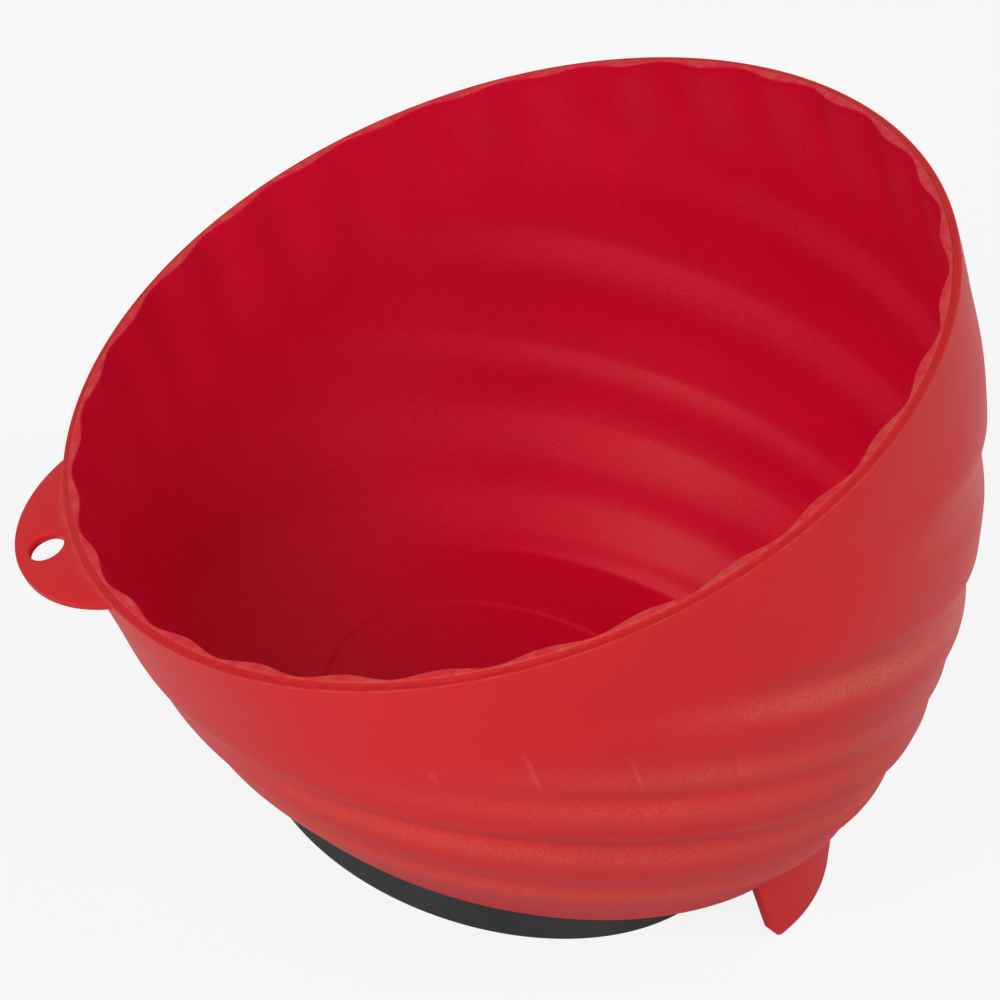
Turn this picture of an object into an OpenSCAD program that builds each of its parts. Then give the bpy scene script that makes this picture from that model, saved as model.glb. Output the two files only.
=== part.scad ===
// Leaning parts bowl with a hanging tab and a crescent foot, on a round magnetic base.
// Millimetres. The seat is the plane z = 0 and its centre is the origin. +Z is up,
// the low lip with the tab lies toward -X and the tall side toward +X.

/* [Bowl] */
// Outer radius of the round rim
rim_r = 75; // [70:1:80]
// Lean of the rim plane toward the tab, in degrees
rim_tilt = 32; // [29:1:34]
// How far the rim's centre stands from the base's axis, toward the tab
rim_shift = 22.5; // [20:0.5:25]
// Height of the rim's centre above the seat
rim_h = 89.5; // [86:0.5:93]
// Half length of the egg-shaped bowl along its own axis
bowl_deep = 117; // [113:1:121]
// Wall thickness of the moulding
wall = 3; // [2.6:0.1:3.4]
// Width of the rim's soft outer shoulder
shoulder_w = 1.4; // [1:0.1:1.6]
// Height of that shoulder above the rim's widest circle
shoulder_h = 0.7; // [0.4:0.1:1]
// Thickness of the flat floor
floor_t = 2.4; // [2.2:0.1:3]
// Radius of the shallow round recess in the floor
recess_r = 34; // [28:1:38]
// Depth of that recess
recess_d = 0.5; // [0.3:0.1:0.8]

/* [Ribs] */
// Number of level steps round the wall
rib_n = 5; // [3:1:5]
// Height of the lowest step above the seat
rib_low = 25; // [24:0.5:27]
// Rise from the lowest step to the next, before growth
rib_step = 9; // [8:0.5:10]
// Growth of the rise from step to step
rib_grow = 2; // [1.5:0.25:2]
// Height of one step's groove
rib_w = 3; // [2:0.5:4]
// Depth of one step's groove
rib_d = 1; // [0.6:0.1:1.2]
// Distance below the rim where the grooves run out
rib_fade = 12; // [10:1:16]

/* [Flutes] */
// Number of flutes round the inside of the rim
flute_n = 30; // [24:1:36]
// Depth of a flute at the rim
flute_d = 0.9; // [0.6:0.1:1.1]
// Radius of a flute's hollow
flute_r = 19.5; // [17:0.5:22]

/* [Tab] */
// How far the tab reaches out past the rim
tab_reach = 9.4; // [8.5:0.1:12]
// Radius of the tab's round outline
tab_r = 22.3; // [20:0.1:26]
// Thickness of the tab
tab_t = 1.6; // [1.4:0.1:2.4]
// Diameter of the hanging hole
hole_d = 6; // [5:0.1:6.5]
// Distance from the rim to the hole's centre
hole_out = 4.2; // [4:0.1:4.6]

/* [Foot] */
// Radius of the crescent foot's outer face at the seat
foot_r = 53; // [52:0.5:54]
// How far the crescent's centre stands from the base's axis, toward the tall side
foot_shift = 9; // [8:0.5:10]
// Thickness of the foot's wall
foot_t = 2.4; // [2:0.1:3]
// Half spread of the foot at the seat, in degrees
foot_half = 57; // [45:1:60]
// Slope of the foot's two ends from upright, in degrees
foot_slope = 33; // [20:1:38]
// Height above the seat at which the foot's outer face runs into the bowl
foot_join = 20; // [18:0.5:22]
// How far the foot's root runs on from there, up into the bowl's wall
foot_root = 6; // [4:0.5:7]

/* [Base] */
// Radius of the round base
base_r = 44; // [43:0.5:46]
// Height of the base, from the seat to the bowl's underside
base_h = 10.5; // [10:0.1:11.5]
// Thickness of the cover's floor under the magnet
boot_floor = 1.4; // [1:0.1:1.6]
// Thickness of the cover's side wall
boot_wall = 2.6; // [2.2:0.1:3]
// Thickness of the cover's top lip
lip_t = 1.2; // [1:0.1:1.4]
// Width of the cover's top lip over the cup
lip_w = 2.4; // [1.8:0.1:3]
// Sheet thickness of the steel cup
cup_t = 2; // [1.5:0.1:2.2]
// Radius of the magnet's bore
magnet_bore_r = 14; // [10:1:18]

/* [Fixing] */
// Nominal diameter of the centre screw
screw_d = 5; // [4:0.5:5]
// Diameter of the wide washer on the floor
washer_d = 20; // [16:1:26]
// Thickness of the wide washer
washer_t = 1.2; // [1:0.1:1.6]

/* [Clearances] */
// Room round the steel cup inside the cover
cup_gap = 0.3; // [0.2:0.05:0.5]
// Room between the magnet and the cup's wall
magnet_gap = 0.6; // [0.3:0.1:1]
// Room between the magnet and the cover's floor
face_gap = 0.2; // [0.1:0.05:0.3]
// Room between the bowl's boss and the cover's lip
boss_gap = 0.4; // [0.2:0.1:0.8]
// Radial room of the screw in plain holes
screw_gap = 0.25; // [0.15:0.05:0.4]

/* [Hidden] */
$fn = 96;
big = 400;
// Base stack, from the seat up
cup_top = base_h - lip_t - 0.1;
plate_low = cup_top - cup_t;
cup_r = base_r - boot_wall - cup_gap;
magnet_r = cup_r - cup_t - magnet_gap;
lip_r = cup_r - lip_w;
boss_r = lip_r - boss_gap;
screw_r = screw_d / 2;
hole_r = screw_r + screw_gap;
floor_z = base_h + floor_t - recess_d;
head_z = floor_z + washer_t;
head_r = 0.95 * screw_d;
head_h = 0.56 * screw_d;
lock_t = 0.24 * screw_d;
nut_top = plate_low - lock_t;
nut_h = 0.78 * screw_d;
nut_flat = 1.6 * screw_d;
screw_low = nut_top - nut_h - 0.1;
// Bowl
egg_step = 5;
egg_end = 80;
fade_len = 14;
tab_c = rim_r + tab_reach - tab_r;
foot_top = foot_join + foot_root;
foot_lean = (egg_end_x(foot_join) - foot_shift - foot_r) / foot_join;
// A straight flute leans in a little more than the wall, and ends just past its run-out
egg_bend = (rim_r - wall) / (2 * pow(bowl_deep - wall, 2));
flute_k = 1.06 * sqrt(4 * egg_bend * flute_d);
flute_len = 1.05 * (flute_k - sqrt(pow(flute_k, 2) - 4 * egg_bend * flute_d)) / (2 * egg_bend);
flute_half = 0.48 * 2 * PI * (rim_r - wall) / flute_n;

// Height of step k above the seat
function rib_z(k) = rib_low + rib_step * k + rib_grow * k * k;

// Share of the groove's depth at a distance s below the rim, negative above the run-out
function rib_share(s) = max(-1, min(1, (s - rib_fade) / fade_len));

// Half outline of the egg, from the rim down, set in by a wall and by a groove
function egg_points(inset, groove) =
    [for (t = [0 : egg_step : egg_end])
        let (g = inset + groove * rib_share(bowl_deep * sin(t)))
        [(rim_r - g) * cos(t), -(bowl_deep - g) * sin(t)]];

// Where the level section of the egg at a height ends toward the tall side
function egg_end_x(z) =
    let (c = cos(rim_tilt), s = sin(rim_tilt), p = 1 / pow(rim_r, 2), q = 1 / pow(bowl_deep, 2),
         dz = z - rim_h, k2 = c * c * p + s * s * q, k1 = 2 * dz * s * c * (p - q),
         k0 = dz * dz * (s * s * p + c * c * q) - 1)
    -rim_shift + (sqrt(k1 * k1 - 4 * k2 * k0) - k1) / (2 * k2);

// Places its children in the rim's own frame: rim centre, rim plane
module in_rim() translate([-rim_shift, 0, rim_h]) rotate([0, -rim_tilt, 0]) children();

// Solid egg, closed a little above the rim plane, with a shoulder of some width on its rim
module egg(inset, groove, lift, round) {
    p = egg_points(inset, groove);
    top = [for (a = [90 : -30 : 30]) [p[0][0] - round + round * cos(a), lift * sin(a)]];
    in_rim() rotate_extrude()
        polygon(concat([[0, lift]], round > 0 ? top : [[p[0][0], lift]], p, [[0, p[len(p) - 1][1]]]));
}

// The egg with its level grooves
module stepped_egg(inset, lift, round) {
    difference() {
        egg(inset, 0, lift, round);
        difference() {
            for (k = [0 : rib_n - 1])
                translate([0, 0, rib_z(k)]) cube([big, big, rib_w], center = true);
            egg(inset, rib_d, lift + 5, 0);
        }
    }
}

// Everything above a height
module above(z) translate([-big / 2, -big / 2, z]) cube([big, big, big]);

// One flute: a shallow round hollow that leans in toward the bowl's axis
module flute() {
    translate([rim_r - wall + flute_d - flute_r, 0, 0])
        rotate([0, atan(flute_k), 0])
            translate([0, 0, -flute_len]) linear_extrude(flute_len + shoulder_h + 1)
                intersection() {
                    circle(flute_r);
                    translate([flute_r - 2, -flute_half]) square([3, 2 * flute_half]);
                }
}

// Foot's solid cone about its own axis, from below the seat to its root in the bowl's wall
module foot_cone(r, low, top) {
    translate([0, 0, low]) cylinder(r1 = r + foot_lean * low, r2 = r + foot_lean * top, h = top - low);
}

// Crescent wall under the tall side, cut by a sloping plane at each end
module crescent() {
    difference() {
        translate([foot_shift, 0, 0]) difference() {
            foot_cone(foot_r, 0, foot_top);
            foot_cone(foot_r - foot_t, -1, foot_top + 1);
            translate([-big, -big / 2, -1]) cube([big, big, big]);
        }
        for (side = [-1, 1])
            translate([foot_shift, 0, 0]) rotate([0, 0, side * foot_half])
                rotate([-side * foot_slope, 0, 0])
                    translate([0, side * big / 2, 0]) cube([big, big, big], center = true);
    }
}

module bowl() {
    color([0.77, 0.16, 0.18]) difference() {
        union() {
            intersection() {
                stepped_egg(0, shoulder_h, shoulder_w);
                above(base_h);
            }
            crescent();
            translate([0, 0, cup_top]) cylinder(r = boss_r, h = base_h - cup_top + 0.5);
            in_rim() translate([-tab_c, 0, -tab_t]) cylinder(r = tab_r, h = tab_t);
        }
        intersection() {
            stepped_egg(wall, shoulder_h + 1, 0);
            above(base_h + floor_t);
        }
        translate([0, 0, floor_z]) cylinder(r = recess_r, h = recess_d + 0.2);
        translate([0, 0, cup_top - 1]) cylinder(r = hole_r, h = base_h + floor_t);
        in_rim() translate([-rim_r - hole_out, 0, -tab_t - 1]) cylinder(d = hole_d, h = tab_t + 2);
        in_rim() for (i = [0 : flute_n - 1]) rotate([0, 0, i * 360 / flute_n]) flute();
    }
}

module base_boot() {
    edge = 0.8;
    in_r = cup_r + cup_gap;
    color([0.16, 0.16, 0.17]) rotate_extrude() polygon([
        [0, 0], [base_r - edge, 0], [base_r, edge], [base_r, base_h], [lip_r, base_h],
        [lip_r, cup_top + 0.1], [in_r, cup_top + 0.1], [in_r, boot_floor], [0, boot_floor]]);
}

module magnet_cup() {
    color([0.72, 0.73, 0.75]) difference() {
        translate([0, 0, boot_floor]) cylinder(r = cup_r, h = cup_top - boot_floor);
        translate([0, 0, boot_floor - 1]) cylinder(r = cup_r - cup_t, h = plate_low - boot_floor + 1);
        translate([0, 0, plate_low - 1]) cylinder(r = hole_r, h = cup_t + 2);
    }
}

module ring_magnet() {
    low = boot_floor + face_gap;
    color([0.24, 0.24, 0.26]) difference() {
        translate([0, 0, low]) cylinder(r = magnet_r, h = plate_low - low);
        translate([0, 0, low - 1]) cylinder(r = magnet_bore_r, h = plate_low - low + 2);
    }
}

module screw() {
    color([0.75, 0.76, 0.78]) difference() {
        union() {
            translate([0, 0, screw_low]) cylinder(r = screw_r, h = head_z - screw_low + 0.5);
            translate([0, 0, head_z]) cylinder(r = head_r, h = 0.6 * head_h);
            translate([0, 0, head_z + 0.6 * head_h])
                cylinder(r1 = head_r, r2 = 0.72 * head_r, h = 0.4 * head_h);
        }
        for (a = [0, 90])
            rotate([0, 0, a]) translate([0, 0, head_z + head_h])
                cube([1.1 * screw_d, 0.2 * screw_d, 0.8 * head_h], center = true);
    }
}

// Flat ring from a height up
module ring(outer_r, inner_r, z, t) {
    translate([0, 0, z]) difference() {
        cylinder(r = outer_r, h = t);
        translate([0, 0, -1]) cylinder(r = inner_r, h = t + 2);
    }
}

module washer() color([0.78, 0.79, 0.8]) ring(washer_d / 2, hole_r, floor_z, washer_t);

module lock_washer() {
    color([0.7, 0.71, 0.73]) difference() {
        ring(0.92 * screw_d, screw_r + 0.1, nut_top, lock_t);
        rotate([0, 0, 30]) translate([0.75 * screw_d, 0, nut_top])
            cube([screw_d, 0.18 * screw_d, 4 * lock_t], center = true);
    }
}

module nut() {
    color([0.74, 0.75, 0.77]) translate([0, 0, nut_top - nut_h]) difference() {
        cylinder(d = nut_flat / cos(30), h = nut_h, $fn = 6);
        translate([0, 0, -1]) cylinder(r = screw_r, h = nut_h + 2);
    }
}

bowl();
base_boot();
magnet_cup();
ring_magnet();
screw();
washer();
lock_washer();
nut();
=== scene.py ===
import math

import bmesh
import bpy
import numpy as np
from mathutils import Matrix, Vector


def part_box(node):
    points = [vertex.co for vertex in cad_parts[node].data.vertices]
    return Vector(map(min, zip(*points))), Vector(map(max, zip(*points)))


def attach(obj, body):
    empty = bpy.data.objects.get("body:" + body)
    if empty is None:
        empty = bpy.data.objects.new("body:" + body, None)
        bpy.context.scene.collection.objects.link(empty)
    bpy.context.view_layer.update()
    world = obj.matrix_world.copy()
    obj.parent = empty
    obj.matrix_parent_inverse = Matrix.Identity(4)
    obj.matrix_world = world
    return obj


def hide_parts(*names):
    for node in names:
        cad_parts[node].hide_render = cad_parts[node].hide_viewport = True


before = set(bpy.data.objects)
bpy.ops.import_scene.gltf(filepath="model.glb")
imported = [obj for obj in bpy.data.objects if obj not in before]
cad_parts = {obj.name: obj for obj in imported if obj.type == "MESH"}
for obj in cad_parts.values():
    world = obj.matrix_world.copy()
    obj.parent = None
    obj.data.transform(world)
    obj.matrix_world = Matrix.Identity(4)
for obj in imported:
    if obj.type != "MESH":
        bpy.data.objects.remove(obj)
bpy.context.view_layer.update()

# Sizes in millimetres, in the part's own frame
MM = 0.001
RIM_R = 75.0
RIM_TILT = math.radians(32)
RIM_CENTRE = np.array([-22.5, 0.0, 89.5])
BOWL_DEEP = 117.0
WALL = 3.0
SHOULDER_W = 1.4
SHOULDER_H = 0.7
# Rows of the rim: below its outer edge, then (outward, height) round the ridge and over the step beside it
RIM_SIDE = (0.15, 0.35, 0.7)
RIM_RIDGE = ((0.0, 0.3), (0.05, 0.5), (0.16, 0.64))
RIM_STEP = (
    (-0.08, 0.70), (0.02, 0.62), (0.08, 0.48), (0.14, 0.24), (0.24, 0.10), (0.42, 0.03),
    (0.80, 0.0), (1.10, 0.02), (1.28, 0.07),
)
# Base, floor and the crease between floor and wall, which is tight under the tall side
BASE_R = 44.0
BASE_H = 10.5
FLOOR_Z = 12.9
RECESS_Z = 12.4
RECESS_R = 34.0
CREASE_Z = 14.5
CREASE_TIGHT = 0.8
CREASE_WIDE = 11.0
CREASE_FROM_X = -25.0
CREASE_TO_TIGHT = 45.0
CREASE_MOST = 0.9
FLOOR_STRAIGHT = 0.35
FLOOR_CURVED = 0.65
BOSS_R = 38.3
BOSS_Z = 9.2
HOLE_R = 2.75
BOTTOM_EDGE = 1.0
BOTTOM_RUN = 1.3
CUT = 0.3
SMALL_CUT = 0.2
# Level steps of the wall's outside: height of the crease, its depth, the length of the rise below it,
# and the strength of the highlight painted on its ledge
STEPS_OUT = (
    (97.0, 1.25, 9.0, 1.0),
    (75.0, 1.30, 7.0, 1.6),
    (61.5, 0.55, 8.5, 0.8),
    (53.0, 0.90, 4.5, 0.8),
    (39.5, 1.35, 6.5, 0.9),
    (26.5, 0.65, 4.0, 1.0),
)
BAND_OUT = 0.65
BAND_FADE_FROM = 10.0
BAND_FADE_LEN = 14.0
BAND_FOOT = 14.0
BAND_FOOT_LEN = 10.0
STEP_SAG = 0.0018
STEP_TURN_IN = 6.0
OUTER_HIGHLIGHT_REACH = 4.4
MOST_HIGHLIGHT = 1.6
# Level steps of its inside: height of the crease, depth, and lengths of the rise and the fall below it
STEPS_IN = (
    (97.0, 0.62, 6.5, 9.0),
    (74.0, 0.85, 7.0, 9.0),
    (51.0, 0.52, 4.0, 7.0),
    (38.0, 0.72, 7.5, 6.5),
    (23.5, 0.35, 6.0, 3.0),
)
STEP_LEAN_IN = 0.045
STEP_RUN_UP = 9.0
STEP_DIP = 0.25
# They are softer toward the low side
STEP_SOFT = 0.22
STEP_SOFT_X = -12.0
STEP_SOFT_LEN = 30.0
# All steps fade out below the rim
STEP_FADE_FROM = 14.0
STEP_FADE_LEN = 24.0
# Flutes round the inside of the rim
FLUTE_N = 30
FLUTE_D = 1.1
FLUTE_FULL = 7.0
FLUTE_END = 25.0
# Tab and its hole, in the rim's plane
TAB_C = 62.1
TAB_R = 22.3
TAB_T = 1.6
TAB_ROOT_R = 73.4
TAB_EDGE = 0.35
TAB_HOLE_C = 79.2
TAB_HOLE_R = 3.0
TAB_COLS = 180
TAB_BETWEEN = (0.33, 0.66)
# Crescent foot
FOOT_X = 9.0
FOOT_R = 53.0
FOOT_T = 2.4
FOOT_HALF = math.radians(57)
FOOT_SLOPE = math.tan(math.radians(33))
FOOT_LEAN = 0.18
FOOT_EDGE = 0.4
FOOT_TIP = 1.6
FOOT_SINK = 1.2
FOOT_COLS = 121
FOOT_ROWS = 29
FOOT_CROWD = 1.6
FOOT_START = 15.0
FOOT_TRIES = 30
FOOT_SHARP = math.radians(40)
# Base's cover: its soft edges, and the lip that grips the steel cup
BASE_EDGE = 1.1
BASE_TOP_EDGE = 0.7
COVER_FLOOR = 1.4
CUP_ROOM_R = 41.4
LIP_R = 38.7
LIP_CUT = 0.25
LIP_Z = 9.3
# Screw: head and the cross recess in it, with half lengths and half widths at its top and bottom
SCREW_R = 2.5
SHANK_CUT = 0.4
HEAD_H = 2.8
HEAD_DOME = 0.62
HEAD_POWER = 3.2
HEAD_EDGE = 0.2
HEAD_EDGE_MID = 0.06
CROSS_D = 1.7
CROSS_TOP = (2.7, 0.55)
CROSS_LOW = (1.2, 0.35)
CROSS_TURN = 0.4
CROSS_OVER = 0.05
# Depth at which the recess's painted shade is full, and the margin round the cross
CAVITY_FULL = 0.8
CAVITY_MARGIN = 0.1
# Scuffs on the front of the wall: middle, half length and half width
SCUFFS = (
    ((-30.7, -69.6, 57.9), 6.4, 0.55),
    ((-15.2, -71.9, 59.7), 6.6, 0.45),
    ((1.7, -70.8, 60.6), 3.6, 0.35),
    ((8.8, -70.2, 76.1), 1.7, 0.40),
    ((19.8, -65.1, 83.9), 2.1, 0.45),
    ((-43.7, -63.8, 53.0), 2.0, 0.50),
    ((-81.3, -22.6, 53.3), 1.3, 0.45),
    ((-65.7, -55.7, 63.1), 1.1, 0.45),
)
SCUFF_WAY = (0.52, 0.16, -0.84)
# Pale rim: its ridge by height and the line at its outer edge, partly wear and partly painted highlight
RIDGE_FROM = 0.28
RIDGE_LEN = 0.3
FLASH_H = 0.15
FLASH_W = 0.35
FLASH_SHARE = 0.8
# Painted shade in the rim's step, by distance from the ridge
STEP_SHADE_RISE = 0.12
STEP_SHADE_STOP = 0.25
STEP_SHADE_FALL = 0.3
STEP_SHADE_LOW = 0.1
# Where the wall counts as outside, by the egg's own level
OUTSIDE_FROM = 0.955
OUTSIDE_LEN = 0.01
# Share of the outer ledges' painted highlight that the inner crests and the lands between flutes show
INNER_HIGHLIGHT = 0.16
INNER_HIGHLIGHT_X = -40.0
INNER_HIGHLIGHT_LEN = 60.0
LAND_RISE = 3.0
# Pale tint toward the low side of the bowl's inside, painted to lift its shade, as a share of the same
FLOOR_SHADE_LIFT = 0.25
SHADE_LIFT_DOWN = 20.0
SHADE_LIFT_DOWN_LEN = 40.0
SHADE_LIFT_X = 15.0
SHADE_LIFT_LEN = 45.0
# Mesh density
COLS = 480
ROWS_OUT = 180
ROWS_IN = 160
# Floor and light, in metres: the floor's glow is held back in mirror rays near the part, which paints a
# shadow round it in reflections
FLOOR_HALF = 6.0
FLOOR_DROP = 0.0002
FLOOR_GREY = 0.70
FLOOR_GLOW = 0.87
SHADE_MIDDLE = (0.04, -0.10, 0.0)
SHADE_FROM = 0.05
SHADE_TO = 0.20
ROOM_LIGHT = 0.40
# Lamps: name, place, target, size and power
LAMPS = (
    ("key", (-0.96, -0.66, 0.62), (0, 0, 0.07), 0.5, 9.0),
    ("front", (0.30, -1.50, 0.42), (0, 0, 0.06), 0.84, 4.4),
    ("fill", (0.75, -0.30, 0.95), (0, 0, 0.06), 0.5, 2.2),
)

EX = np.array([math.cos(RIM_TILT), 0.0, math.sin(RIM_TILT)])
EY = np.array([0.0, 1.0, 0.0])
EN = np.array([-math.sin(RIM_TILT), 0.0, math.cos(RIM_TILT)])
PHI = 2 * math.pi * np.arange(COLS) / COLS
SPOKE = np.cos(PHI)[:, None] * EX + np.sin(PHI)[:, None] * EY
QUARTER = np.radians((0, 30, 60, 90))


def smooth(x):
    """Soft step from nought to one."""
    x = np.clip(x, 0.0, 1.0)
    return x * x * (3 - 2 * x)


def inner_level(points):
    """Height of points over the inner creases, which rise a little toward the tall side."""
    return points[:, 2] - STEP_LEAN_IN * points[:, 0]


def inner_swell(points, down):
    """Swell of the wall's inside: a crease at each step, a ledge below it and a slow fall."""
    z = inner_level(points)
    swell = np.zeros_like(z)
    for level, depth, rise, fall in STEPS_IN:
        below = level - z
        ledge = np.sin(0.5 * math.pi * np.clip(below / rise, 0, 1)) - smooth((below - rise) / fall)
        swell += depth * np.where(below >= 0, ledge, 0.0)
        dip = np.where(below < 0, smooth(1 + below / STEP_RUN_UP), np.clip(1 - below / rise, 0, 1))
        swell -= STEP_DIP * depth * dip
    swell *= STEP_SOFT + (1 - STEP_SOFT) * smooth((points[:, 0] - STEP_SOFT_X) / STEP_SOFT_LEN)
    return swell * smooth((down - STEP_FADE_FROM) / STEP_FADE_LEN)


def band_level(points):
    """Height of points over the outer creases, which sink a little toward both ends."""
    return points[:, 2] + STEP_SAG * points[:, 0] ** 2


def band_swell(points, down):
    """Swell of the wall's outside: flat bands that turn in to a crease at each step."""
    z = band_level(points)
    grooves = np.zeros_like(z)
    for level, depth, rise, _ in STEPS_OUT:
        below = level - z
        run_in = smooth(1 + below / STEP_TURN_IN)
        run_out = 1 - np.sin(0.5 * math.pi * np.clip(below / rise, 0, 1))
        grooves += depth * np.where(below < 0, run_in, run_out)
    band = BAND_OUT * smooth((down - BAND_FADE_FROM) / BAND_FADE_LEN)
    band *= smooth((z - BAND_FOOT) / BAND_FOOT_LEN)
    return band - grooves * smooth((down - STEP_FADE_FROM) / STEP_FADE_LEN)


def egg_end(half_r, half_deep, z):
    """Angle down the egg at which each spoke reaches a height."""
    a = half_r * np.cos(PHI) * math.sin(RIM_TILT)
    b = -half_deep * math.cos(RIM_TILT)
    return np.arctan2(b, a) + np.arccos((z - RIM_CENTRE[2]) / np.hypot(a, b))


def egg_row(half_r, half_deep, t, side):
    """One row round the egg at the angle t down from the rim; its steps swell outward or inward by side."""
    down = half_deep * np.sin(t)
    points = RIM_CENTRE + (half_r * np.cos(t))[:, None] * SPOKE - down[:, None] * EN
    normal = (half_deep * np.cos(t))[:, None] * SPOKE - (half_r * np.sin(t))[:, None] * EN
    normal /= np.linalg.norm(normal, axis=1)[:, None]
    push = band_swell(points, down) if side > 0 else -inner_swell(points, down)
    return points + push[:, None] * normal


def flute_push(down):
    """Outward push of the flutes at a distance below the rim."""
    run_out = 1 - smooth((down - FLUTE_FULL) / (FLUTE_END - FLUTE_FULL))
    return FLUTE_D * (0.5 + 0.5 * np.cos(FLUTE_N * PHI)) * run_out


def rim_row(radius, height):
    """One row round the rim's axis at a height over its plane."""
    return RIM_CENTRE + np.broadcast_to(radius, PHI.shape)[:, None] * SPOKE + height * EN


def grid_mesh(name, rows, close_rows):
    """Mesh of rows of points, closed along each row, and from the last row to the first if asked."""
    count = len(rows)
    cols = len(rows[0])
    mesh = bpy.data.meshes.new(name)
    verts = np.concatenate(rows) * MM
    faces = []
    for i in range(count if close_rows else count - 1):
        a = i * cols
        b = ((i + 1) % count) * cols
        for j in range(cols):
            k = (j + 1) % cols
            faces.append((a + j, a + k, b + k, b + j))
    mesh.from_pydata(verts.tolist(), [], faces)
    fix_normals(mesh)
    return mesh


def fix_normals(mesh):
    """Turns all faces outward."""
    bm = bmesh.new()
    bm.from_mesh(mesh)
    bmesh.ops.recalc_face_normals(bm, faces=bm.faces)
    if bm.calc_volume(signed=True) < 0:
        bmesh.ops.reverse_faces(bm, faces=bm.faces)
    bm.to_mesh(mesh)
    bm.free()


def add_object(name, mesh):
    """New object in the scene."""
    obj = bpy.data.objects.new(name, mesh)
    bpy.context.scene.collection.objects.link(obj)
    return obj


def shade(mesh, degrees):
    """Smooth shading, sharp over an angle."""
    mesh.shade_smooth()
    mesh.set_sharp_from_angle(angle=math.radians(degrees))


def level_row(angle, radius, z):
    """One level row round the base's axis."""
    r = np.broadcast_to(radius, angle.shape)
    return np.stack([r * np.cos(angle), r * np.sin(angle), np.full(angle.shape, z)], axis=1)


def shell_mesh():
    """The bowl's wall, floor and boss as one closed skin."""
    rows = []
    # Outer wall from the rim down
    t_low = egg_end(RIM_R, BOWL_DEEP, BASE_H + BOTTOM_EDGE)
    rows.append(rim_row(RIM_R, 0.0))
    for down in RIM_SIDE:
        rows.append(rim_row(RIM_R, -down))
    for v in np.linspace(0.01, 1, ROWS_OUT):
        rows.append(egg_row(RIM_R, BOWL_DEEP, v * t_low, 1))
    # Rounded bottom edge
    wall = rows[-1]
    corner = egg_row(RIM_R, BOWL_DEEP, egg_end(RIM_R, BOWL_DEEP, BASE_H), 1)
    corner[:, 2] = BASE_H
    angle = np.arctan2(corner[:, 1], corner[:, 0])
    reach = np.hypot(corner[:, 0], corner[:, 1])
    rim = reach - BOTTOM_RUN
    under = level_row(angle, rim, BASE_H)
    for u in (0.25, 0.5, 0.75, 1.0):
        rows.append((1 - u) ** 2 * wall + 2 * u * (1 - u) * corner + u * u * under)
    # Underside, boss, screw hole and recessed floor
    for u in (0.4, 0.8):
        rows.append(level_row(angle, rim + u * (BOSS_R + CUT - rim), BASE_H))
    for r, z in (
        (BOSS_R + SMALL_CUT, BASE_H), (BOSS_R, BASE_H - SMALL_CUT), (BOSS_R, BOSS_Z + CUT),
        (BOSS_R - CUT, BOSS_Z), (26.0, BOSS_Z), (14.0, BOSS_Z),
        (HOLE_R + CUT, BOSS_Z), (HOLE_R, BOSS_Z + CUT),
        (HOLE_R, RECESS_Z - SMALL_CUT), (HOLE_R + SMALL_CUT, RECESS_Z), (10.0, RECESS_Z), (18.0, RECESS_Z),
        (26.0, RECESS_Z), (RECESS_R - 0.6, RECESS_Z), (RECESS_R - 0.2, RECESS_Z + 0.06),
        (RECESS_R + 0.1, RECESS_Z + 0.25), (RECESS_R + 0.4, FLOOR_Z - 0.06), (RECESS_R + 0.8, FLOOR_Z),
    ):
        rows.append(level_row(angle, r, z))
    # Gentle slope out to the crease at the foot of the inner wall
    inner_r = RIM_R - WALL
    inner_deep = BOWL_DEEP - WALL
    t_in = egg_end(inner_r, inner_deep, CREASE_Z)
    crease = egg_row(inner_r, inner_deep, t_in, -1)
    start = rows[-1]
    tight = smooth((crease[:, 0] - CREASE_FROM_X) / CREASE_TO_TIGHT)
    corner = CREASE_TIGHT + (CREASE_WIDE - CREASE_TIGHT) * (1 - tight)
    width = np.linalg.norm(crease - start, axis=1)
    corner = np.minimum(corner, CREASE_MOST * width)

    def floor_row(share):
        """One row of the floor, at a share of the way to the crease."""
        flat = start + share[:, None] * (crease - start)
        lift = FLOOR_STRAIGHT * share + FLOOR_CURVED * share * share
        flat[:, 2] = FLOOR_Z + (crease[:, 2] - FLOOR_Z) * lift
        return flat

    for u in (0.15, 0.4, 0.6, 0.8, 1.0):
        rows.append(floor_row(u * (1 - corner / width)))
    # Corner between floor and wall: tight under the tall side, wide toward the low lip
    pace = np.hypot(inner_r * np.sin(t_in), inner_deep * np.cos(t_in))
    t_top = t_in - corner / pace
    low = rows[-1]
    high = egg_row(inner_r, inner_deep, t_top, -1)
    for u in (0.17, 0.33, 0.5, 0.67, 0.83):
        rows.append((1 - u) ** 2 * low + 2 * u * (1 - u) * crease + u * u * high)
    # Inner wall up to the fluted rim
    for v in np.linspace(1, 0, ROWS_IN):
        t = v * t_top
        row = egg_row(inner_r, inner_deep, t, -1)
        rows.append(row + flute_push(inner_deep * np.sin(t))[:, None] * SPOKE)
    # Rim's inner edge, top and outer step
    edge = inner_r + flute_push(np.zeros_like(PHI))
    for out, high in RIM_RIDGE:
        rows.append(rim_row(edge + out, high))
    top_out = RIM_R - SHOULDER_W
    rows.append(rim_row(0.5 * (edge + top_out), SHOULDER_H))
    for out, high in RIM_STEP:
        rows.append(rim_row(top_out + out, high))
    return grid_mesh("bowl_shell", rows, True)


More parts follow.
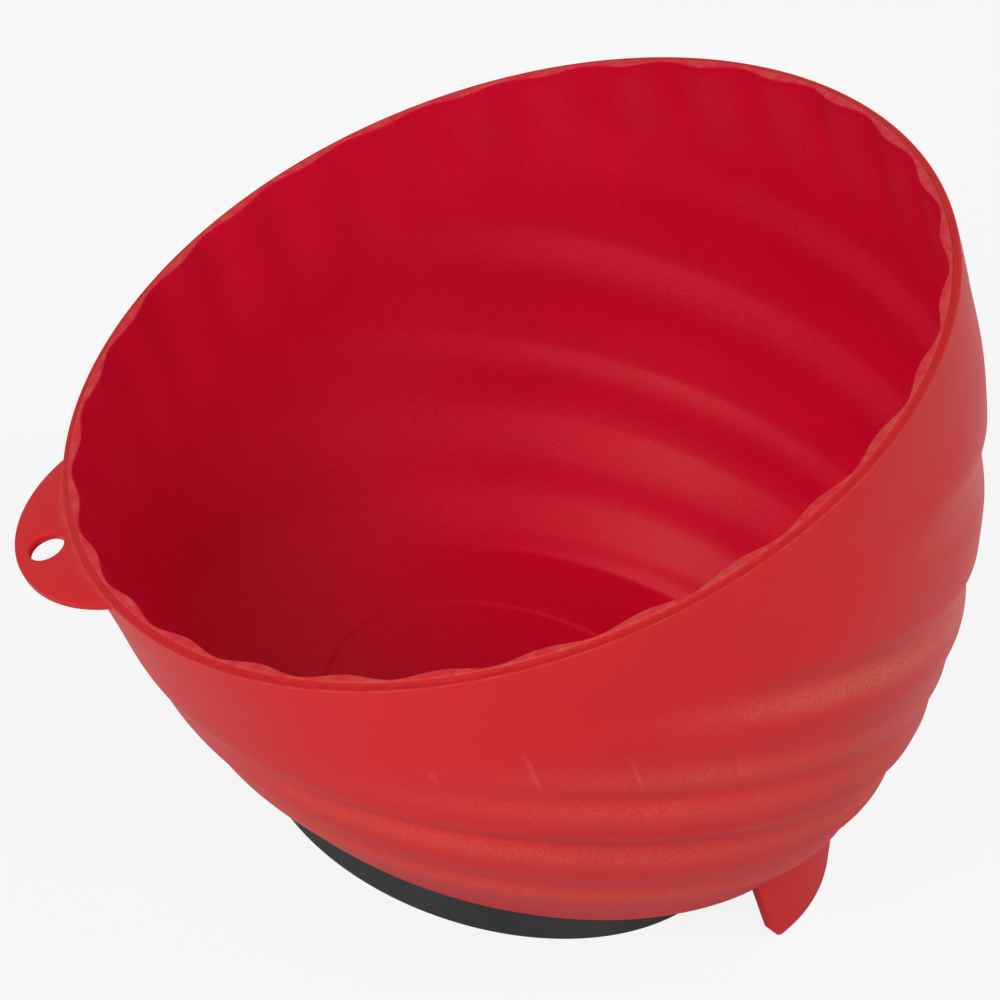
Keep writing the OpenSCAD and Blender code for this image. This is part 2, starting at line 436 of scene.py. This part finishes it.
def tab_mesh():
    """The hanging tab: a round lobe beside the rim with a rounded edge and a hole, rooted in the wall."""
    ang = 2 * math.pi * np.arange(TAB_COLS) / TAB_COLS
    du, dv = np.cos(ang), np.sin(ang)
    # Distance from the hole's centre to the lobe's outline, and to the root inside the wall
    off = TAB_HOLE_C - TAB_C
    lobe = off * du + np.sqrt((off * du) ** 2 - off * off + TAB_R * TAB_R)
    half = TAB_HOLE_C * du
    inside = half * half - TAB_HOLE_C ** 2 + TAB_ROOT_R ** 2
    root = np.where((du > 0) & (inside > 0), half - np.sqrt(np.maximum(inside, 0)), np.inf)
    reach = np.minimum(lobe, root)

    def row(dist, height):
        """One row round the hole's centre."""
        u = -TAB_HOLE_C + dist * du
        v = dist * dv
        return RIM_CENTRE + u[:, None] * EX + v[:, None] * EY + height * EN

    hole = np.full(TAB_COLS, TAB_HOLE_R)
    e = TAB_EDGE
    rows = []
    for a in QUARTER[::-1]:
        rows.append(row(hole + e - e * math.cos(a), -e + e * math.sin(a)))
    for a in QUARTER:
        rows.append(row(hole + e - e * math.cos(a), -TAB_T + e - e * math.sin(a)))
    for share in TAB_BETWEEN:
        rows.append(row(hole + e + share * (reach - hole - 2 * e), -TAB_T))
    for a in QUARTER[::-1]:
        rows.append(row(reach - e + e * math.cos(a), -TAB_T + e - e * math.sin(a)))
    for a in QUARTER:
        rows.append(row(reach - e + e * math.cos(a), -e + e * math.sin(a)))
    for share in TAB_BETWEEN[::-1]:
        rows.append(row(hole + e + share * (reach - hole - 2 * e), 0.0))
    return grid_mesh("bowl_tab", rows, True)


def meet_height(x, y):
    """Height at which an upright line first meets the egg's outside."""
    c, s = math.cos(RIM_TILT), math.sin(RIM_TILT)
    p, q = 1 / RIM_R ** 2, 1 / BOWL_DEEP ** 2
    dx = x - RIM_CENTRE[0]
    k2 = s * s * p + c * c * q
    k1 = 2 * dx * s * c * (p - q)
    k0 = dx * dx * (c * c * p + s * s * q) + y * y * p - 1
    return RIM_CENTRE[2] - (k1 + np.sqrt(np.maximum(k1 * k1 - 4 * k2 * k0, 0))) / (2 * k2)


def foot_mesh():
    """The crescent foot: an upright curved wall under the tall side, rooted in the bowl's wall."""
    along = np.linspace(-1, 1, FOOT_COLS)
    ups = np.linspace(0, 1, FOOT_ROWS) ** FOOT_CROWD
    bm = bmesh.new()

    def place(radius, z):
        """Points along the foot at a height: its ends slope out and are rounded at the tip."""
        low = np.clip(FOOT_TIP - z, 0, FOOT_TIP)
        tip = FOOT_TIP - np.sqrt(FOOT_TIP ** 2 - low ** 2)
        turn = along * (FOOT_HALF + np.arctan2(FOOT_SLOPE * z - tip, FOOT_R))
        r = radius - FOOT_LEAN * z
        return FOOT_X + r * np.cos(turn), r * np.sin(turn)

    def sheet(radius):
        """One face of the foot, up to just inside the bowl's wall, whose height is found by steps."""
        top = np.full(along.shape, FOOT_START)
        for _ in range(FOOT_TRIES):
            top = 0.5 * (top + meet_height(*place(radius, top)) + FOOT_SINK)
        grid = []
        for up in ups:
            x, y = place(radius, up * top)
            grid.append([bm.verts.new(Vector(p) * MM) for p in zip(x, y, up * top)])
        return grid

    outer = sheet(FOOT_R)
    inner = sheet(FOOT_R - FOOT_T)
    n, m = len(ups), len(along)
    for i in range(n - 1):
        for j in range(m - 1):
            bm.faces.new((outer[i][j], outer[i][j + 1], outer[i + 1][j + 1], outer[i + 1][j]))
            bm.faces.new((inner[i][j], inner[i + 1][j], inner[i + 1][j + 1], inner[i][j + 1]))
        for j in (0, m - 1):
            bm.faces.new((outer[i][j], outer[i + 1][j], inner[i + 1][j], inner[i][j]))
    for j in range(m - 1):
        for i in (0, n - 1):
            bm.faces.new((outer[i][j], outer[i][j + 1], inner[i][j + 1], inner[i][j]))
    bmesh.ops.recalc_face_normals(bm, faces=bm.faces)
    sharp = [e for e in bm.edges if len(e.link_faces) == 2 and e.calc_face_angle() > FOOT_SHARP]
    bmesh.ops.bevel(
        bm, geom=sharp, offset=FOOT_EDGE * MM, segments=3, profile=0.5, affect="EDGES", clamp_overlap=True)
    mesh = bpy.data.meshes.new("bowl_foot")
    bm.to_mesh(mesh)
    bm.free()
    fix_normals(mesh)
    return mesh


def combine(obj, others, operation):
    """Unites closed meshes with obj or cuts them from it, and drops them."""
    for other in others:
        mod = obj.modifiers.new("combine", "BOOLEAN")
        mod.operation = operation
        mod.solver = "MANIFOLD"
        mod.object = other
    dg = bpy.context.evaluated_depsgraph_get()
    made = bpy.data.meshes.new_from_object(obj.evaluated_get(dg))
    obj.modifiers.clear()
    obj.data = made
    for other in others:
        bpy.data.objects.remove(other)


def revolve(name, profile, count):
    """Solid of a half profile of (radius, height) points round the base's axis, from pole to pole."""
    angle = 2 * math.pi * np.arange(count) / count
    mesh = grid_mesh(name, [level_row(angle, r, z) for r, z in profile], False)
    bm = bmesh.new()
    bm.from_mesh(mesh)
    bmesh.ops.remove_doubles(bm, verts=bm.verts, dist=1e-7)
    bm.to_mesh(mesh)
    bm.free()
    fix_normals(mesh)
    return mesh


def arc(cx, cz, r, start, end, steps):
    """Points of an arc between two angles in degrees."""
    return [
        (cx + r * math.cos(math.radians(a)), cz + r * math.sin(math.radians(a)))
        for a in np.linspace(start, end, steps)
    ]


def base_mesh():
    """The base's cover: floor, side with soft edges, and the lip that grips the steel cup."""
    low, top = BASE_EDGE, BASE_TOP_EDGE
    profile = [(0.0, 0.0), (12.0, 0.0), (26.0, 0.0), (36.0, 0.0), (40.0, 0.0)]
    profile += arc(BASE_R - low, low, low, -90, 0, 7)
    profile += [(BASE_R, 3.5), (BASE_R, 6.0), (BASE_R, 8.2)]
    profile += arc(BASE_R - top, BASE_H - top, top, 0, 90, 5)
    profile += [(41.5, BASE_H), (LIP_R + LIP_CUT, BASE_H), (LIP_R, BASE_H - LIP_CUT)]
    profile += [(LIP_R, 9.5), (LIP_R + 0.15, LIP_Z), (CUP_ROOM_R, LIP_Z)]
    profile += [(CUP_ROOM_R, COVER_FLOOR), (20.0, COVER_FLOOR), (0.0, COVER_FLOOR)]
    return revolve("base_cover", profile, 240)


def head_top(radius, head_r, top):
    """Height of the domed head at a radius."""
    share = np.clip(radius / head_r, 0, 1)
    return top - HEAD_DOME * HEAD_H * (1 - (1 - share ** HEAD_POWER) ** (1 / HEAD_POWER))


def screw_mesh(head_r, low, top):
    """The screw: a plain shank under a domed pan head."""
    under = top - HEAD_H
    profile = [(0.0, low), (SCREW_R - SHANK_CUT, low), (SCREW_R, low + SHANK_CUT), (SCREW_R, under)]
    profile += [(head_r - HEAD_EDGE, under), (head_r - HEAD_EDGE_MID, under + HEAD_EDGE_MID)]
    profile.append((head_r, under + HEAD_EDGE))
    for share in np.sin(np.radians(np.linspace(90, 0, 19))):
        profile.append((share * head_r, float(head_top(share * head_r, head_r, top))))
    return revolve("pan_screw", profile, 96)


def cross_bar(name, turn, top):
    """One tapered bar of the cross recess, to be cut from the head."""
    way = np.array([math.cos(turn), math.sin(turn), 0.0])
    side = np.array([-math.sin(turn), math.cos(turn), 0.0])
    verts = []
    for (half_l, half_w), z in ((CROSS_LOW, top - CROSS_D), (CROSS_TOP, top + CROSS_OVER)):
        for u, v in ((-1, -1), (1, -1), (1, 1), (-1, 1)):
            verts.append((u * half_l * way + v * half_w * side + np.array([0, 0, z])) * MM)
    faces = [(3, 2, 1, 0), (4, 5, 6, 7)]
    faces += [(i, (i + 1) % 4, (i + 1) % 4 + 4, i + 4) for i in range(4)]
    mesh = bpy.data.meshes.new(name)
    mesh.from_pydata([tuple(v) for v in verts], [], faces)
    fix_normals(mesh)
    return add_object(name, mesh)


class Nodes:
    """Small helper that adds shader nodes and links them."""

    def __init__(self, name):
        self.mat = bpy.data.materials.new(name)
        self.mat.use_nodes = True
        self.tree = self.mat.node_tree
        self.tree.nodes.clear()
        self.out = self.add("ShaderNodeOutputMaterial")
        self.bsdf = self.add("ShaderNodeBsdfPrincipled")
        self.link(self.bsdf, "BSDF", self.out, "Surface")
        self.coord = self.add("ShaderNodeTexCoord")

    def add(self, kind, **values):
        """New node; values set its properties, or else its inputs."""
        node = self.tree.nodes.new(kind)
        for key, value in values.items():
            if hasattr(node, key):
                setattr(node, key, value)
            else:
                node.inputs[key].default_value = value
        return node

    def link(self, a, out, b, inp):
        """Joins an output of a to an input of b."""
        self.tree.links.new(a.outputs[out], b.inputs[inp])

    def noise(self, scale, detail=2.0, rough=0.5, stretch=None):
        """Noise in the part's own frame, stretched if asked."""
        node = self.add("ShaderNodeTexNoise", Scale=scale, Detail=detail, Roughness=rough)
        if stretch:
            place = self.add("ShaderNodeMapping")
            place.inputs["Scale"].default_value = stretch
            self.link(self.coord, "Object", place, "Vector")
            self.link(place, "Vector", node, "Vector")
        else:
            self.link(self.coord, "Object", node, "Vector")
        return node

    def ramp(self, source, out, stops):
        """Colours by (position, colour) stops."""
        node = self.add("ShaderNodeValToRGB")
        while len(node.color_ramp.elements) < len(stops):
            node.color_ramp.elements.new(0.5)
        for element, (pos, colour) in zip(node.color_ramp.elements, stops):
            element.position = pos
            element.color = (*colour, 1.0)
        self.link(source, out, node, "Fac")
        return node

    def remap(self, source, out, low, high, to_low, to_high):
        """Carries one range of values to another, held at its ends."""
        node = self.add("ShaderNodeMapRange")
        for key, value in (("From Min", low), ("From Max", high), ("To Min", to_low), ("To Max", to_high)):
            node.inputs[key].default_value = value
        self.link(source, out, node, "Value")
        return node

    def mix(self, a, b, factor):
        """Mixes two colours by a factor; each is a (node, output) pair, and a colour may be plain."""
        node = self.add("ShaderNodeMix", data_type="RGBA")
        for value, key in ((a, 6), (b, 7)):
            if hasattr(value[0], "outputs"):
                self.tree.links.new(value[0].outputs[value[1]], node.inputs[key])
            else:
                node.inputs[key].default_value = (*value, 1.0)
        self.tree.links.new(factor[0].outputs[factor[1]], node.inputs[0])
        return node

    def stroke(self, place, way, half_length, half_width):
        """A soft mark that lies along a direction: one in its middle, nought at its edge."""
        local = self.add("ShaderNodeMapping", vector_type="TEXTURE")
        local.inputs["Location"].default_value = Vector(place) * MM
        local.inputs["Rotation"].default_value = Vector(way).to_track_quat("X", "Z").to_euler()
        local.inputs["Scale"].default_value = (half_length * MM, half_width * MM * 5, half_width * MM)
        self.link(self.coord, "Object", local, "Vector")
        size = self.add("ShaderNodeVectorMath", operation="LENGTH")
        self.link(local, "Vector", size, 0)
        return self.remap(size, "Value", 0.35, 1.0, 1.0, 0.0)

    def math(self, op, a, b):
        """One maths step on two values; each is a number or a (node, output) pair."""
        node = self.add("ShaderNodeMath", operation=op)
        for i, value in enumerate((a, b)):
            if isinstance(value, tuple):
                self.tree.links.new(value[0].outputs[value[1]], node.inputs[i])
            else:
                node.inputs[i].default_value = value
        return node

    def bump(self, source, out, strength, distance, after=None):
        """Relief by a value, over another bump if given."""
        node = self.add("ShaderNodeBump", Strength=strength, Distance=distance)
        self.link(source, out, node, "Height")
        if after:
            self.link(after, "Normal", node, "Normal")
        return node


def red_plastic():
    """Satin moulded polypropylene: fine grain, colour drift and scuffs, rim edges pale from wear and
    painted highlight, painted shade in the rim's step, painted highlights on the ledges, and an outside
    painted paler as a painted reflection of gloss.
    """
    n = Nodes("red_plastic_look")
    b = n.bsdf
    b.inputs["IOR"].default_value = 1.49
    b.inputs["Specular IOR Level"].default_value = 0.20
    b.inputs["Specular Tint"].default_value = (1.0, 0.96, 0.75, 1.0)
    drift = n.noise(28.0, 3.0)
    # The outside's tone is painted paler, a painted reflection standing in for gloss that the low specular
    # level leaves out
    plain_tone = n.ramp(drift, "Fac", [(0.3, (0.59, 0.0012, 0.028)), (0.7, (0.65, 0.0020, 0.032))])
    painted_gloss_tone = n.ramp(drift, "Fac", [(0.3, (0.57, 0.0125, 0.018)), (0.7, (0.62, 0.0155, 0.021))])
    outer = n.add("ShaderNodeAttribute", attribute_name="outer_face")
    tone = n.mix((plain_tone, "Color"), (painted_gloss_tone, "Color"), (outer, "Fac"))
    grain = n.noise(2600.0, 2.0, 0.6)
    speck = n.remap(grain, "Fac", 0.60, 0.76, 0.0, 0.14)
    grained = n.mix((tone, 2), (0.66, 0.10, 0.09), (speck, "Result"))
    # Pale scuffs down the front of the wall, broken up by the grain
    scuff = None
    for place, half_length, half_width in SCUFFS:
        mark = n.stroke(place, SCUFF_WAY, half_length, half_width)
        if scuff:
            scuff = n.math("MAXIMUM", (scuff, 0), (mark, "Result"))
        else:
            scuff = n.math("ADD", (mark, "Result"), 0.0)
    broken = n.remap(n.noise(2200.0, 3.0, 0.7), "Fac", 0.40, 0.62, 0.06, 0.30)
    scuff = n.math("MULTIPLY", (scuff, 0), (broken, "Result"))
    scuffed = n.mix((grained, 2), (0.70, 0.20, 0.16), (scuff, 0))
    # Rim: painted shade in its step, and pale edges that are partly wear and partly painted highlight
    rim_pale = n.add("ShaderNodeAttribute", attribute_name="edge_wear_and_highlight")
    patch = n.noise(420.0, 3.0, 0.6)
    patchy = n.remap(patch, "Fac", 0.40, 0.64, 0.05, 0.32)
    wear_and_highlight = n.math("MULTIPLY", (rim_pale, "Fac"), (patchy, "Result"))
    step_shade = n.add("ShaderNodeAttribute", attribute_name="step_painted_shade")
    shade_depth = n.remap(patch, "Fac", 0.35, 0.65, 0.18, 0.48)
    painted_shade = n.math("MULTIPLY", (step_shade, "Fac"), (shade_depth, "Result"))
    step_shaded = n.mix((scuffed, 2), (0.34, 0.004, 0.012), (painted_shade, 0))
    rim_worn_and_lit = n.mix((step_shaded, 2), (0.56, 0.15, 0.08), (wear_and_highlight, 0))
    # Ledges painted pale as highlights; inside, this also carries a pale tint painted to lift the shade on
    # the low side
    ledge = n.add("ShaderNodeAttribute", attribute_name="ledge_painted_light")
    light_grain = n.remap(grain, "Fac", 0.36, 0.62, 0.10, 0.42)
    ledge_light = n.math("MULTIPLY", (ledge, "Fac"), (light_grain, "Result"))
    final = n.mix((rim_worn_and_lit, 2), (0.64, 0.15, 0.10), (ledge_light, 0))
    n.link(final, 2, b, "Base Color")
    rough = n.remap(drift, "Fac", 0.3, 0.7, 0.45, 0.53)
    rougher = n.math("ADD", (rough, "Result"), (scuff, 0))
    n.link(rougher, 0, b, "Roughness")
    fine = n.bump(grain, "Fac", 0.45, 0.00012)
    soft = n.bump(n.noise(330.0, 2.0), "Fac", 0.08, 0.0004, fine)
    n.link(soft, "Normal", b, "Normal")
    return n.mat


def black_rubber():
    """Matte black cover with a fine grain and a little dust."""
    n = Nodes("black_rubber_look")
    b = n.bsdf
    b.inputs["Specular IOR Level"].default_value = 0.4
    drift = n.noise(45.0, 4.0)
    tone = n.ramp(drift, "Fac", [(0.3, (0.020, 0.020, 0.021)), (0.7, (0.030, 0.030, 0.031))])
    dust = n.noise(900.0, 2.0, 0.6)
    fleck = n.remap(dust, "Fac", 0.68, 0.78, 0.0, 0.10)
    final = n.mix((tone, "Color"), (0.20, 0.20, 0.19), (fleck, "Result"))
    n.link(final, 2, b, "Base Color")
    rough = n.remap(drift, "Fac", 0.3, 0.7, 0.52, 0.62)
    n.link(rough, "Result", b, "Roughness")
    fine = n.bump(n.noise(2400.0, 2.0, 0.6), "Fac", 0.25, 0.0001)
    n.link(fine, "Normal", b, "Normal")
    return n.mat


def plated_steel():
    """Bright zinc plate: fine turning marks, cloudy roughness, and painted shade darkening the cross
    recess.
    """
    n = Nodes("plated_steel_look")
    b = n.bsdf
    b.inputs["Metallic"].default_value = 1.0
    cloud = n.noise(160.0, 4.0)
    tone = n.ramp(cloud, "Fac", [(0.3, (0.42, 0.425, 0.43)), (0.7, (0.56, 0.565, 0.57))])
    # Painted shade: the cross recess is darkened by its depth
    hollow = n.add("ShaderNodeAttribute", attribute_name="cavity")
    painted_shade = n.math("MULTIPLY", (hollow, "Fac"), 0.85)
    final = n.mix((tone, "Color"), (0.05, 0.046, 0.042), (painted_shade, 0))
    n.link(final, 2, b, "Base Color")
    rough = n.remap(cloud, "Fac", 0.3, 0.7, 0.30, 0.44)
    n.link(rough, "Result", b, "Roughness")
    turned = n.noise(1500.0, 2.0, 0.5, (1.0, 1.0, 0.05))
    n.link(n.bump(turned, "Fac", 0.10, 0.00008), "Normal", b, "Normal")
    return n.mat


def ferrite():
    """Dull sintered ferrite with a gritty surface."""
    n = Nodes("ferrite_look")
    b = n.bsdf
    grit = n.noise(1400.0, 4.0, 0.65)
    tone = n.ramp(grit, "Fac", [(0.3, (0.030, 0.030, 0.033)), (0.7, (0.062, 0.062, 0.066))])
    n.link(tone, "Color", b, "Base Color")
    rough = n.remap(grit, "Fac", 0.3, 0.7, 0.60, 0.78)
    n.link(rough, "Result", b, "Roughness")
    n.link(n.bump(grit, "Fac", 0.3, 0.0002), "Normal", b, "Normal")
    return n.mat


def crest_highlight(level, crests):
    """How strongly a painted highlight lies on points at some levels, by crests given as crease, reach and
    strength.
    """
    highlight_amount = np.zeros_like(level)
    for crease, reach, strength in crests:
        highlight_amount += strength * np.exp(-((crease - level - 0.5 * reach) / (0.6 * reach)) ** 2)
    return np.clip(highlight_amount, 0, MOST_HIGHLIGHT)


def mesh_points(mesh):
    """The mesh's points, in millimetres."""
    co = np.empty(len(mesh.vertices) * 3, np.float32)
    mesh.vertices.foreach_get("co", co)
    return co.reshape(-1, 3) / MM


def store(mesh, name, values):
    """Keeps one value at each point of the mesh."""
    attribute = mesh.attributes.new(name, "FLOAT", "POINT")
    attribute.data.foreach_set("value", values.astype(np.float32))


def mark_wear_and_painted_light(mesh):
    """Stores where the rim is worn and painted with highlight, where its step is painted with shade, where
    ledges are painted with highlight or lifted shade, and the outside that is painted paler as a reflection
    of gloss.
    """
    points = mesh_points(mesh)
    d = points - RIM_CENTRE
    height = d @ EN
    radius = np.hypot(d @ EX, d @ EY)
    # Rim
    # Pale ridge and outer edge line of the rim: partly wear, partly painted highlight
    ridge = smooth((height - RIDGE_FROM) / RIDGE_LEN)
    flash = np.exp(-(height / FLASH_H) ** 2) * smooth(1 - np.abs(radius - RIM_R) / FLASH_W)
    wear_and_highlight = np.clip(np.maximum(ridge, FLASH_SHARE * flash), 0, 1)
    # Painted shade in the rim's step
    inset = radius - (RIM_R - SHOULDER_W)
    step_shade = smooth(inset / STEP_SHADE_RISE) * smooth((SHOULDER_W - STEP_SHADE_STOP - inset) / STEP_SHADE_FALL)
    step_shade *= smooth((height + STEP_SHADE_LOW) / STEP_SHADE_LOW)
    # Outside
    egg = (radius / RIM_R) ** 2 + (height / BOWL_DEEP) ** 2
    outside = smooth((egg - OUTSIDE_FROM) / OUTSIDE_LEN)
    stepped = smooth((-height - STEP_FADE_FROM) / STEP_FADE_LEN)
    # Painted highlight on the ledges below the outer creases
    outer_crests = [(step[0], OUTER_HIGHLIGHT_REACH, step[3]) for step in STEPS_OUT]
    outer_highlight = crest_highlight(band_level(points), outer_crests) * stepped
    # Inside
    # Painted highlight on the inner crests and on the lands between flutes
    turn = np.arctan2(d @ EY, d @ EX)
    land = 0.5 - 0.5 * np.cos(FLUTE_N * turn)
    land *= smooth((FLUTE_END + height) / (FLUTE_END - FLUTE_FULL)) * smooth(-height / LAND_RISE)
    inner_crests = [(step[0], step[2], 1.0) for step in STEPS_IN]
    inner_highlight = crest_highlight(inner_level(points), inner_crests) * stepped
    inner_highlight = INNER_HIGHLIGHT * np.maximum(inner_highlight, land)
    inner_highlight = inner_highlight * smooth((points[:, 0] - INNER_HIGHLIGHT_X) / INNER_HIGHLIGHT_LEN)
    # Pale tint painted toward the low side of the inside, lifting its shade
    dust = FLOOR_SHADE_LIFT * smooth((-height - SHADE_LIFT_DOWN) / SHADE_LIFT_DOWN_LEN)
    dust = dust * smooth((SHADE_LIFT_X - points[:, 0]) / SHADE_LIFT_LEN)
    ledge = (1 - outside) * (inner_highlight + dust) + outside * outer_highlight
    store(mesh, "edge_wear_and_highlight", wear_and_highlight)
    store(mesh, "step_painted_shade", step_shade)
    store(mesh, "ledge_painted_light", ledge)
    store(mesh, "outer_face", outside)


def build_bowl():
    """The red moulding: bowl, tab and foot in one."""
    bowl = add_object("bowl_moulding", shell_mesh())
    others = [add_object("tab_solid", tab_mesh()), add_object("foot_solid", foot_mesh())]
    combine(bowl, others, "UNION")
    mark_wear_and_painted_light(bowl.data)
    shade(bowl.data, 32)
    bowl.data.materials.clear()
    bowl.data.materials.append(red_plastic())
    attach(bowl, "root")
    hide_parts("bowl")


def build_base():
    """The black cover of the magnetic base."""
    base = add_object("base_cover", base_mesh())
    shade(base.data, 35)
    base.data.materials.append(black_rubber())
    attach(base, "root")
    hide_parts("base_boot")


def build_screw(steel):
    """The pan-head screw on the bowl's floor."""
    low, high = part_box("screw")
    head_r, bottom, top = high[0] / MM, low[2] / MM, high[2] / MM
    screw = add_object("pan_screw", screw_mesh(head_r, bottom, top))
    bars = [cross_bar("cross_a", CROSS_TURN, top), cross_bar("cross_b", CROSS_TURN + math.pi / 2, top)]
    combine(screw, bars, "DIFFERENCE")
    mesh = screw.data
    # Depth into the cross recess, for the painted shade in it
    points = mesh_points(mesh)
    radius = np.hypot(points[:, 0], points[:, 1])
    depth = head_top(radius, head_r, top) - points[:, 2]
    in_cross = radius < CROSS_TOP[0] + CAVITY_MARGIN
    in_head = points[:, 2] > top - HEAD_H + CAVITY_MARGIN
    store(mesh, "cavity", smooth(depth / CAVITY_FULL) * in_cross * in_head)
    shade(mesh, 35)
    mesh.materials.clear()
    mesh.materials.append(steel)
    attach(screw, "root")
    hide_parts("screw")


def dress_nodes(steel):
    """Looks of the nodes whose solids stay."""
    looks = {name: steel for name in ("magnet_cup", "washer", "lock_washer", "nut")}
    looks["ring_magnet"] = ferrite()
    for name, look in looks.items():
        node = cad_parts[name]
        if not node.material_slots:
            node.data.materials.append(look)
        for slot in node.material_slots:
            slot.material = look


def maths(tree, operation, a, b):
    """Result of one maths step on two outputs."""
    node = tree.nodes.new("ShaderNodeMath")
    node.operation = operation
    tree.links.new(a, node.inputs[0])
    tree.links.new(b, node.inputs[1])
    return node.outputs[0]


def seen_straight(tree, near=None):
    """One for camera, mirror and see-through rays, else nought; near scales it for mirror rays."""
    path = tree.nodes.new("ShaderNodeLightPath")
    mirror = path.outputs["Is Glossy Ray"]
    if near:
        mirror = maths(tree, "MULTIPLY", mirror, near)
    first = maths(tree, "MAXIMUM", path.outputs["Is Camera Ray"], mirror)
    return maths(tree, "MAXIMUM", first, path.outputs["Is Transmission Ray"])


def blend_shaders(tree, share, a, b, out):
    """Surface that goes from shader a to shader b by a share."""
    blend = tree.nodes.new("ShaderNodeMixShader")
    tree.links.new(share, blend.inputs[0])
    tree.links.new(a.outputs[0], blend.inputs[1])
    tree.links.new(b.outputs[0], blend.inputs[2])
    tree.links.new(blend.outputs[0], out.inputs["Surface"])


def away_from_part(tree):
    """Nought under the part, rising to one away from it: a painted shadow round the part, seen in mirror
    rays.
    """
    where = tree.nodes.new("ShaderNodeNewGeometry")
    far = tree.nodes.new("ShaderNodeVectorMath")
    far.operation = "DISTANCE"
    far.inputs[1].default_value = SHADE_MIDDLE
    tree.links.new(where.outputs["Position"], far.inputs[0])
    rise = tree.nodes.new("ShaderNodeMapRange")
    rise.interpolation_type = "SMOOTHSTEP"
    rise.inputs["From Min"].default_value = SHADE_FROM
    rise.inputs["From Max"].default_value = SHADE_TO
    tree.links.new(far.outputs["Value"], rise.inputs["Value"])
    return rise.outputs["Result"]


def build_floor():
    """Plain pale floor, white to the camera except where the part shades it, with a painted shadow round
    the part in mirror rays.
    """
    mesh = bpy.data.meshes.new("floor")
    corners = ((-1, -1), (1, -1), (1, 1), (-1, 1))
    verts = [(u * FLOOR_HALF, v * FLOOR_HALF, -FLOOR_DROP) for u, v in corners]
    mesh.from_pydata(verts, [], [(0, 1, 2, 3)])
    floor = add_object("floor", mesh)
    mat = bpy.data.materials.new("floor_white")
    mat.use_nodes = True
    tree = mat.node_tree
    tree.nodes.clear()
    out = tree.nodes.new("ShaderNodeOutputMaterial")
    matte = tree.nodes.new("ShaderNodeBsdfDiffuse")
    matte.inputs["Color"].default_value = (FLOOR_GREY, FLOOR_GREY, FLOOR_GREY, 1)
    glow = tree.nodes.new("ShaderNodeEmission")
    glow.inputs["Strength"].default_value = 1.0
    share = tree.nodes.new("ShaderNodeMath")
    share.operation = "MULTIPLY"
    share.inputs[1].default_value = FLOOR_GLOW
    tree.links.new(seen_straight(tree, away_from_part(tree)), share.inputs[0])
    blend_shaders(tree, share.outputs[0], matte, glow, out)
    mesh.materials.append(mat)


def build_world():
    """Even room light, seen as white."""
    world = bpy.data.worlds.new("studio")
    bpy.context.scene.world = world
    world.use_nodes = True
    tree = world.node_tree
    tree.nodes.clear()
    out = tree.nodes.new("ShaderNodeOutputWorld")
    room = tree.nodes.new("ShaderNodeBackground")
    room.inputs["Color"].default_value = (1, 1, 1, 1)
    room.inputs["Strength"].default_value = ROOM_LIGHT
    white = tree.nodes.new("ShaderNodeBackground")
    white.inputs["Color"].default_value = (1, 1, 1, 1)
    blend_shaders(tree, seen_straight(tree), room, white, out)


def add_lamp(name, place, target, size, power):
    """Round soft lamp that faces its target."""
    data = bpy.data.lights.new(name, "AREA")
    data.shape = "DISK"
    data.size = size
    data.energy = power
    lamp = bpy.data.objects.new(name, data)
    bpy.context.scene.collection.objects.link(lamp)
    lamp.location = place
    lamp.rotation_mode = "QUATERNION"
    lamp.rotation_quaternion = (Vector(target) - Vector(place)).to_track_quat("-Z", "Y")


def build_camera():
    """Camera at the photograph's viewing angle."""
    data = bpy.data.cameras.new("photo_camera")
    data.sensor_width = 36.0
    data.lens = 108.0
    data.clip_start = 0.01
    data.clip_end = 50.0
    cam = bpy.data.objects.new("photo_camera", data)
    bpy.context.scene.collection.objects.link(cam)
    right = Vector((0.92917, -0.28706, 0.23288))
    up = Vector((-0.02807, 0.57341, 0.81879))
    back = Vector((-0.36858, -0.76734, 0.52474))
    eye = Vector((-0.19898, -0.38394, 0.32166))
    turn = Matrix((right, up, back)).transposed().to_4x4()
    cam.matrix_world = Matrix.Translation(eye) @ turn
    bpy.context.scene.camera = cam


build_camera()
build_bowl()
build_base()
zinc = plated_steel()
build_screw(zinc)
dress_nodes(zinc)
build_floor()
build_world()
for lamp_values in LAMPS:
    add_lamp(*lamp_values)
bpy.context.scene.view_settings.view_transform = "Standard"
